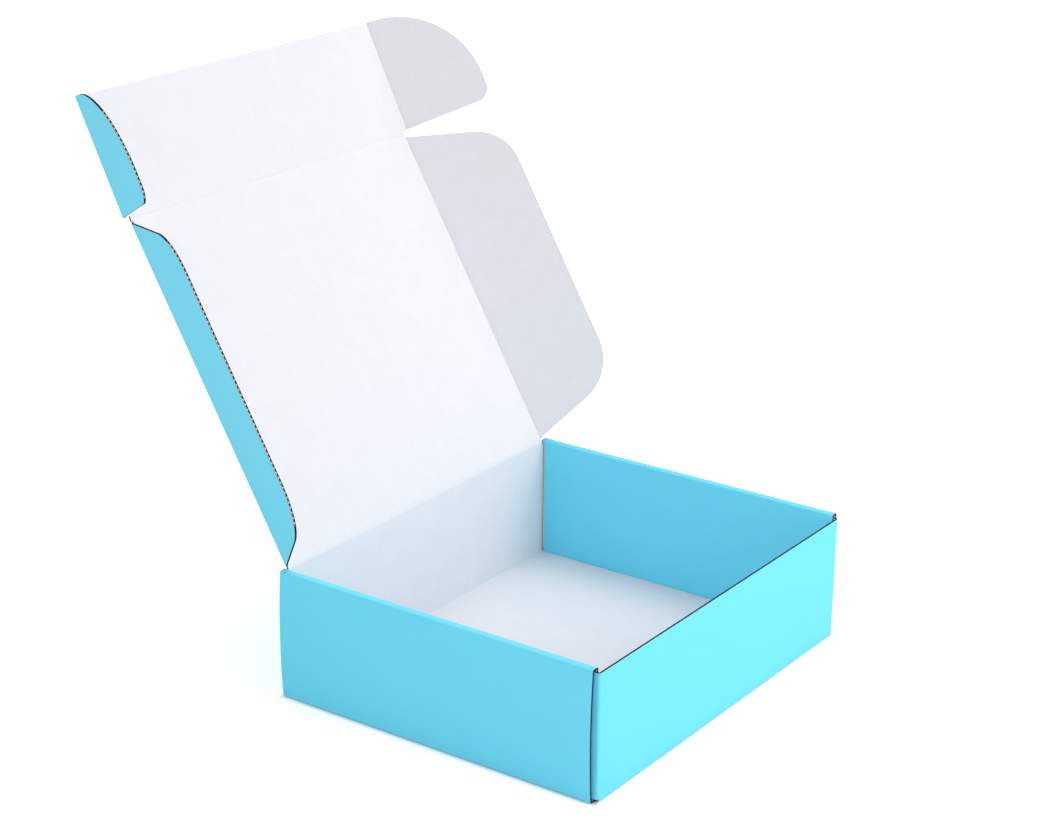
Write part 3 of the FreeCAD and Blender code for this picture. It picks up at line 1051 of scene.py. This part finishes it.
@dataclass
class Cover:
    """The lid and the tuck flap with their ears, and the creases that join them all."""

    sizes: BoxSizes
    materials: dict[Paper, bpy.types.Material]

    def build(self) -> None:
        """Make every flap in its open place, and the creases between them."""
        s = self.sizes
        hinge = Matrix.Translation((0, s.hinge_depth, s.hinge_height))
        lid = hinge @ Matrix.Rotation(math.radians(180 - s.lid_open), 4, "X")
        tuck_line = lid @ Matrix.Translation((0, s.lid_length, 0))
        tuck = tuck_line @ Matrix.Rotation(math.radians(s.tuck_fold), 4, "X")
        before, after = BOARD.crease_before, BOARD.crease_after
        side_edge, tuck_edge = s.lid_crease - before, s.tuck_crease - before
        self.panel("lid", "lid", lid, [(after, side_edge), (s.lid_length - before, side_edge)])
        self.panel("tuck_flap", "tuck", tuck, [(after, s.lid_crease), (s.tuck_neck, s.lid_crease),
                                               (s.tuck_neck, tuck_edge), (s.tuck_length, tuck_edge)])
        whole = (-s.lid_crease, s.lid_crease)
        upright = hinge @ Matrix.Rotation(math.radians(90), 4, "X")
        self.crease("lid_crease", "tray", "lid", upright, lid, whole)
        self.crease("tuck_crease", "lid", "tuck", tuck_line, tuck, whole)
        for side, mirrored in (("right", False), ("left", True)):
            self.ear("lid_ear_" + side, "lid", lid, s.lid_crease, s.lid_ear_fold, self.lid_ear_outline(),
                     mirrored)
            self.ear("tuck_ear_" + side, "tuck", tuck, s.tuck_crease, s.tuck_ear_fold,
                     self.tuck_ear_outline(), mirrored)

    def finish(self, piece: bpy.types.Object, body: str, node: str) -> None:
        """Let a flap ride on its body and stand for its solid.

        Args:
            piece: the flap.
            body: the body that it rides on.
            node: the solid that it stands for.
        """
        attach(piece, body)
        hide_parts(node)
        LOG.info("made %s", piece.name)

    def panel(self, node: str, body: str, matrix: Matrix, corners: list[tuple[float, float]]) -> None:
        """A panel that is the same left and right.

        Args:
            node: the solid that it stands for.
            body: the body that it rides on.
            matrix: where its own frame is.
            corners: distances from the crease with the half widths there. Two at one distance are a step.
        """
        mesh = SheetMesh(node + "_board")
        marks = np.array(corners)
        breaks = [0, *(np.flatnonzero(np.diff(marks[:, 0]) < CLOSE) + 1), len(marks)]
        for first, last in zip(breaks, breaks[1:]):
            part = marks[first:last]
            rows = steps_between(list(part[:, 0]), FLAP_STEP)
            half = np.interp(rows, part[:, 0], part[:, 1])
            Flap(matrix).fill(mesh, rows, -half, half, PANEL_CELLS)
        self.finish(mesh.build(self.materials), body, node)

    def ear(self, node: str, carrier: str, matrix: Matrix, crease: float, fold: float,
            outline: tuple[np.ndarray, np.ndarray], mirrored: bool) -> None:
        """An ear with the crease that joins it to its carrier.

        The ear begins where the crease ends, so it stops at both ends of the outline where that
        reaches only just past the crease, and comes nearly to a point there.

        Args:
            node: the solid that it stands for, and the body that it rides on.
            carrier: the body that carries it.
            matrix: the frame of the flap that carries it.
            crease: distance of its crease from the middle.
            fold: how far it is folded in, in degrees.
            outline: places along the crease, and how far it reaches out from the crease at each.
            mirrored: True for the left ear.
        """
        rows, reach = outline
        begin = BOARD.crease_after
        pivot = matrix @ Matrix.Translation((crease, 0, 0))
        turned = pivot @ Matrix.Rotation(-math.radians(fold), 4, "Y")
        least = begin + BOARD.narrowest
        widest = int(np.argmax(reach))
        ends = np.array([np.interp(least, reach[:widest + 1], rows[:widest + 1]),
                         np.interp(least, reach[widest:][::-1], rows[widest:][::-1])])
        inner = (rows > ends[0]) & (rows < ends[1])
        places = np.concatenate([ends[:1], rows[inner], ends[1:]])
        mesh = SheetMesh(node + "_board")
        Flap(turned, mirrored).fill(mesh, places, np.full(len(places), begin), np.interp(places, rows, reach),
                                    EAR_CELLS)
        self.finish(mesh.build(self.materials), node, node)
        self.crease(node + "_crease", carrier, node, pivot, turned, (rows[0], rows[-1]), 1, mirrored)

    def crease(self, name: str, first: str, second: str, before: Matrix, after: Matrix,
               span: tuple[float, float], axis: int = 0, mirrored: bool = False) -> None:
        """A crease between two flaps, made where they stand open.

        Args:
            name: the piece's name.
            first: the body before the crease. Not used.
            second: the body after it. Not used.
            before: the first flap's frame, whose axis is the crease's line.
            after: the second flap's frame, which shares that line.
            span: where the crease starts and ends along its line.
            axis: 0 for a line along X with Y away from it, and 1 for one along Y with X away from it.
            mirrored: True for a crease on the left.
        """
        old, new, out = before.to_3x3().col, after.to_3x3().col, 1 - axis
        part = Crease(name, after.translation, old[axis], old[out], old[2], new[out], new[2], *span)
        if mirrored:
            for word in ("pivot", "along", "out_from", "inside_from", "out_to", "inside_to"):
                setattr(part, word, getattr(part, word) * Vector((-1, 1, 1)))
        mesh = SheetMesh(part.name)
        part.fill(mesh)
        piece = mesh.build(self.materials)
        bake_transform(piece)
        LOG.info("made %s", piece.name)

    def lid_ear_outline(self) -> tuple[np.ndarray, np.ndarray]:
        """The lid ear's reach at each place along its crease: two slants with round corners.

        A round corner starts its radius times the tangent of half its turn away from the corner.

        Returns:
            The places along the crease, and the reach at each.
        """
        s = self.sizes
        width = s.lid_ear_width
        rows, reach = [], []
        ends = ((s.lid_ear_start, 1, s.lid_ear_back_slant, s.lid_ear_back_radius),
                (s.lid_length - s.lid_ear_end, -1, s.lid_ear_front_slant, s.lid_ear_front_radius))
        for tip, sign, slant, radius in ends:
            lean = math.radians(slant)
            turned = np.linspace(lean, math.pi / 2, ROUND_POINTS)
            tangent = radius * math.tan((math.pi / 2 - lean) / 2)
            corner = tip + sign * width * math.tan(lean)
            centre = corner + sign * tangent
            rows.append(np.concatenate([[tip], centre - sign * radius * np.cos(turned)]))
            reach.append(np.concatenate([[0.0], width - radius + radius * np.sin(turned)]))
        rows = np.concatenate([rows[0], rows[1][::-1]])
        reach = np.concatenate([reach[0], reach[1][::-1]])
        places = merged(rows, steps_between([rows[0], rows[-1]], FLAP_STEP))
        return places, np.interp(places, rows, reach)

    def tuck_ear_outline(self) -> tuple[np.ndarray, np.ndarray]:
        """The tuck ear's reach at each place along its crease: a small round corner, then a large one.

        Both are quarters of a circle: a radius times one less the cosine along the crease with the
        sine outwards, and then the sine along it with the cosine outwards.

        Returns:
            The places along the crease, and the reach at each.
        """
        s = self.sizes
        small = np.linspace(0, math.pi / 2, SMALL_ROUND_POINTS)
        large = np.linspace(0, math.pi / 2, LARGE_ROUND_POINTS)
        first = s.tuck_ear_start + s.tuck_ear_corner * (1 - np.cos(small))
        second = s.tuck_length - s.tuck_ear_radius + s.tuck_ear_radius * np.sin(large)
        rows = np.concatenate([first, second])
        reach = np.concatenate([s.tuck_ear_radius - s.tuck_ear_corner + s.tuck_ear_corner * np.sin(small),
                                s.tuck_ear_radius * np.cos(large)])
        return rows, reach


# Camera, floor and light


@dataclass(frozen=True)
class Viewpoint:
    """Where the photograph was taken from, about the middle of the tray's underside."""

    azimuth: float = -54.994
    elevation: float = 20.334
    roll: float = 0.574
    distance: float = 1785.513 * MM
    right_shift: float = 29.536 * MM
    up_shift: float = -182.410 * MM
    focal_pixels: float = 2462.7
    frame_width: float = 1052.0
    sensor_width: float = 36.0
    nearest: float = 0.01
    farthest: float = 100.0

    def build(self) -> None:
        """Make the camera: back is the way to it, and right and up are turned by its roll."""
        az, el, roll = (math.radians(angle) for angle in (self.azimuth, self.elevation, self.roll))
        back = Vector((math.sin(az) * math.cos(el), -math.cos(az) * math.cos(el), math.sin(el)))
        right = Vector((math.cos(az), math.sin(az), 0))
        up = back.cross(right)
        turned_right = math.cos(roll) * right + math.sin(roll) * up
        turned_up = -math.sin(roll) * right + math.cos(roll) * up
        data = bpy.data.cameras.new("camera")
        data.sensor_width = self.sensor_width
        data.lens = data.sensor_width * self.focal_pixels / self.frame_width
        data.clip_start, data.clip_end = self.nearest, self.farthest
        camera = bpy.data.objects.new("camera", data)
        axes = Matrix((turned_right, turned_up, back)).transposed().to_4x4()
        place = self.distance * back - self.right_shift * turned_right - self.up_shift * turned_up
        camera.matrix_world = Matrix.Translation(place) @ axes
        bpy.context.scene.collection.objects.link(camera)
        bpy.context.scene.camera = camera


@dataclass(frozen=True)
class SoftLamp:
    """A square soft lamp, unseen by the camera: its place, power in watts, width and what it faces."""

    name: str
    place: tuple[float, float, float]
    power: float
    width: float = 1.0
    target: tuple[float, float, float] = (0, 0, 0.1)

    def build(self) -> None:
        """Hang the lamp and turn it to its target."""
        data = bpy.data.lights.new(self.name, "AREA")
        data.size = self.width
        data.energy = self.power
        lamp = bpy.data.objects.new(self.name, data)
        lamp.visible_camera = False
        toward = Vector(self.target) - Vector(self.place)
        turn = toward.to_track_quat("-Z", "Y").to_matrix().to_4x4()
        lamp.matrix_world = Matrix.Translation(self.place) @ turn
        bpy.context.scene.collection.objects.link(lamp)


@dataclass(frozen=True)
class Studio:
    """A white room: a floor that keeps the shadow, an even sky, and soft lamps on all sides but the right.

    To the camera the floor glows from near_glow, up to near_reach from the middle, to far_glow from
    far_reach on. Under the box it doesn't glow, and the glow is whole painted_foot_shade_reach beside its foot.
    """

    sky: float = 0.46
    floor_half: float = 30.0
    floor_drop: float = 0.2 * MM
    floor_grey: float = 0.75
    seen_floor_grey: float = 0.9
    near_reach: float = 0.4
    far_reach: float = 1.4
    near_glow: float = 0.55
    far_glow: float = 0.62
    # The glow fades in over this distance beside the box's foot, a painted band of shade over the real
    # contact shadow.
    painted_foot_shade_reach: float = 4 * MM
    lamps: tuple[SoftLamp, ...] = (
        SoftLamp("above", (0.75, -0.25, 2.15), 14.5, 1.5),
        SoftLamp("behind", (0.4, 0.6, 2.2), 8.0, 1.5),
        SoftLamp("front", (0.25, -1.3, 0.6), 10.2),
        SoftLamp("left", (-1.5, -0.5, 0.5), 3.8),
        SoftLamp("left_behind", (-1.5, 0.7, 0.3), 4.4, target=(0, 0, 0.15)),
    )

    def build(self) -> None:
        """Make the floor, the sky and the lamps."""
        self.floor()
        self.sky_light()
        for lamp in self.lamps:
            lamp.build()

    def floor(self) -> None:
        """A wide pale floor just under the box."""
        half, level = self.floor_half, -self.floor_drop
        mesh = bpy.data.meshes.new("floor")
        mesh.from_pydata([(-half, -half, level), (half, -half, level), (half, half, level),
                          (-half, half, level)], [], [(0, 1, 2, 3)])
        floor = bpy.data.objects.new("floor", mesh)
        bpy.context.scene.collection.objects.link(floor)
        mesh.materials.append(self.floor_material())

    def floor_material(self) -> bpy.types.Material:
        """The floor's finish: matte grey to the light, and white with a glow to the camera.

        Returns:
            The material.
        """
        material = bpy.data.materials.new("white_floor")
        material.use_nodes = True
        tree = material.node_tree
        nodes, links = tree.nodes, tree.links
        nodes.clear()
        ray = nodes.new("ShaderNodeLightPath").outputs
        seen = math_result(tree, "MAXIMUM", ray["Is Camera Ray"], ray["Is Glossy Ray"])
        pale, white = (nodes.new("ShaderNodeBsdfDiffuse") for _ in range(2))
        for shader, grey in ((pale, self.floor_grey), (white, self.seen_floor_grey)):
            shader_input(shader, "Color", (grey, grey, grey, 1))
        place = nodes.new("ShaderNodeTexCoord").outputs["Object"]
        away = nodes.new("ShaderNodeVectorMath")
        away.operation = "LENGTH"
        links.new(place, away.inputs[0])
        spread = range_result(tree, away.outputs["Value"], (self.near_reach, self.far_reach),
                              (self.near_glow, self.far_glow))
        # Painted shade: the glow is cut to nothing at the box's foot, so the floor there is darker than the
        # glowing floor around it under the same light.
        strength = math_result(tree, "MULTIPLY", spread, self.painted_foot_shade_mask(tree, place))
        glow = nodes.new("ShaderNodeEmission")
        links.new(strength, glow.inputs["Strength"])
        lit = nodes.new("ShaderNodeAddShader")
        links.new(white.outputs[0], lit.inputs[0])
        links.new(glow.outputs[0], lit.inputs[1])
        show_choice(tree, seen, pale, lit, "ShaderNodeOutputMaterial")
        return material

    def painted_foot_shade_mask(self, tree: bpy.types.NodeTree, place: bpy.types.NodeSocket) -> bpy.types.NodeSocket:
        """How far the floor's glow has come up beside the box's foot: the glow fades out there, which paints
        a band of shade at the foot over the real contact shadow.

        The distance from the foot is the larger of |x| less the half width and |y| less the half depth.

        Args:
            tree: the floor material's node tree.
            place: the place on the floor.

        Returns:
            A socket from 0 under the box to 1 a few millimetres beside it.
        """
        apart = tree.nodes.new("ShaderNodeSeparateXYZ")
        tree.links.new(place, apart.inputs[0])
        beside = [math_result(tree, "SUBTRACT", math_result(tree, "ABSOLUTE", apart.outputs[axis]), half)
                  for axis, half in (("X", BOX.half_width), ("Y", BOX.half_depth))]
        return range_result(tree, math_result(tree, "MAXIMUM", *beside), (-BOX.fold_radius, self.painted_foot_shade_reach))

    def sky_light(self) -> None:
        """An even sky that is white to the camera."""
        world = bpy.data.worlds.new("white_room")
        bpy.context.scene.world = world
        world.use_nodes = True
        tree = world.node_tree
        tree.nodes.clear()
        seen = tree.nodes.new("ShaderNodeLightPath").outputs["Is Camera Ray"]
        even, white = (tree.nodes.new("ShaderNodeBackground") for _ in range(2))
        for background, strength in ((even, self.sky), (white, 1.0)):
            shader_input(background, "Color", (1, 1, 1, 1))
            shader_input(background, "Strength", strength)
        show_choice(tree, seen, even, white, "ShaderNodeOutputWorld")


def corners(box: tuple[Vector, Vector]) -> list[list[float]]:
    """A box as plain lists of numbers."""
    return [list(corner) for corner in box]


def main() -> None:
    """Build the box, the room and the camera."""
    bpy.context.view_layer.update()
    bpy.context.scene.view_settings.view_transform = "Standard"
    Viewpoint().build()
    Studio().build()
    materials = paper_materials()
    Tray(BOX, materials).build()
    Cover(BOX, materials).build()
    LOG.info("the box is built")


if __name__ == "__main__":
    main()
